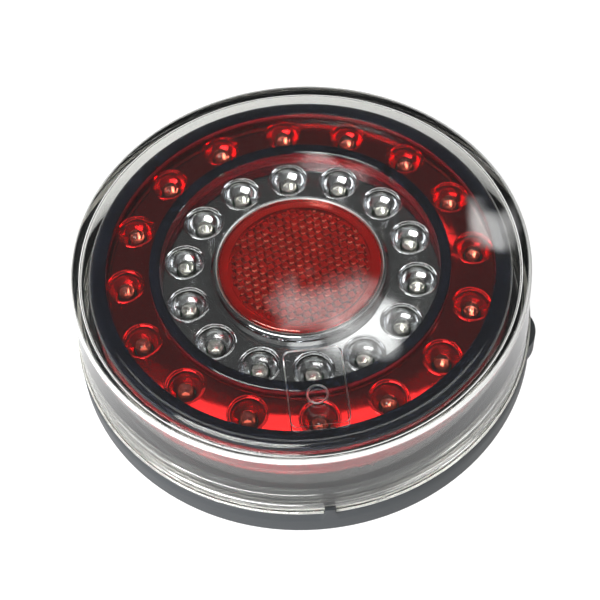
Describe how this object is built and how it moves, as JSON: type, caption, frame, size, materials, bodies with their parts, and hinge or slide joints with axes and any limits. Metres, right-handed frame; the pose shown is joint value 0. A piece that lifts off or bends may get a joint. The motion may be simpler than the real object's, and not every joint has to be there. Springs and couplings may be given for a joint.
{
  "type": "trailer tail light",
  "caption": "Round rear lamp for a trailer: red stop and tail ring, clear indicator ring, centre reflex reflector, clear lens on a shallow black base.",
  "frame": {"origin": "centre of the flat back face, midway between the two mounting inserts", "axes": "+Z out through the lens, square to the back face; +Y towards the lamp's top when it is mounted; +X to the right of someone facing the lens"},
  "size_m": [0.145, 0.145, 0.0393],
  "materials": {
    "base_plastic": "charcoal moulded plastic, fine matt texture",
    "clear_lens": "clear polished polycarbonate",
    "seal_compound": "black sealing compound",
    "red_lens": "transparent red polished acrylic",
    "black_gloss": "black gloss",
    "chrome_plating": "vacuum-metallised mirror finish on plastic",
    "red_reflector": "red prismatic reflector, polished",
    "white_backing": "white",
    "red_led_epoxy": "water-clear epoxy",
    "clear_led_epoxy": "water-clear epoxy",
    "tinned_steel": "bright tin",
    "board_laminate": "green solder mask",
    "component_black": "black moulded epoxy",
    "capacitor_can": "satin can",
    "screw_steel": "zinc plated",
    "socket_plastic": "black moulded plastic",
    "gasket_rubber": "black rubber",
    "insert_brass": "machined brass"
  },
  "bodies": {
    "root": {"base_housing": "base_plastic", "bezel_screws": "screw_steel", "board_screws": "screw_steel", "chrome_bezel": "chrome_plating", "circuit_board": "board_laminate", "connector_socket": "socket_plastic", "contact_pins": "tinned_steel", "indicator_led_01": "clear_led_epoxy", "indicator_led_02": "clear_led_epoxy", "indicator_led_03": "clear_led_epoxy", "indicator_led_04": "clear_led_epoxy", "indicator_led_05": "clear_led_epoxy", "indicator_led_06": "clear_led_epoxy", "indicator_led_07": "clear_led_epoxy", "indicator_led_08": "clear_led_epoxy", "indicator_led_09": "clear_led_epoxy", "indicator_led_10": "clear_led_epoxy", "indicator_led_11": "clear_led_epoxy", "indicator_led_12": "clear_led_epoxy", "indicator_led_13": "clear_led_epoxy", "indicator_led_14": "clear_led_epoxy", "indicator_led_leads": "tinned_steel", "inner_black_band": "black_gloss", "lens_seal_bead": "seal_compound", "mounting_inserts": "insert_brass", "outer_black_band": "black_gloss", "outer_lens": "clear_lens", "protection_diodes": "component_black", "red_lens": "red_lens", "reflector_backing": "white_backing", "reflex_reflector": "red_reflector", "resistors": "component_black", "smoothing_capacitors": "capacitor_can", "socket_gasket": "gasket_rubber", "stop_tail_led_01": "red_led_epoxy", "stop_tail_led_02": "red_led_epoxy", "stop_tail_led_03": "red_led_epoxy", "stop_tail_led_04": "red_led_epoxy", "stop_tail_led_05": "red_led_epoxy", "stop_tail_led_06": "red_led_epoxy", "stop_tail_led_07": "red_led_epoxy", "stop_tail_led_08": "red_led_epoxy", "stop_tail_led_09": "red_led_epoxy", "stop_tail_led_10": "red_led_epoxy", "stop_tail_led_11": "red_led_epoxy", "stop_tail_led_12": "red_led_epoxy", "stop_tail_led_13": "red_led_epoxy", "stop_tail_led_14": "red_led_epoxy", "stop_tail_led_15": "red_led_epoxy", "stop_tail_led_16": "red_led_epoxy", "stop_tail_led_leads": "tinned_steel", "voltage_regulators": "component_black"}
  },
  "joints": []
}
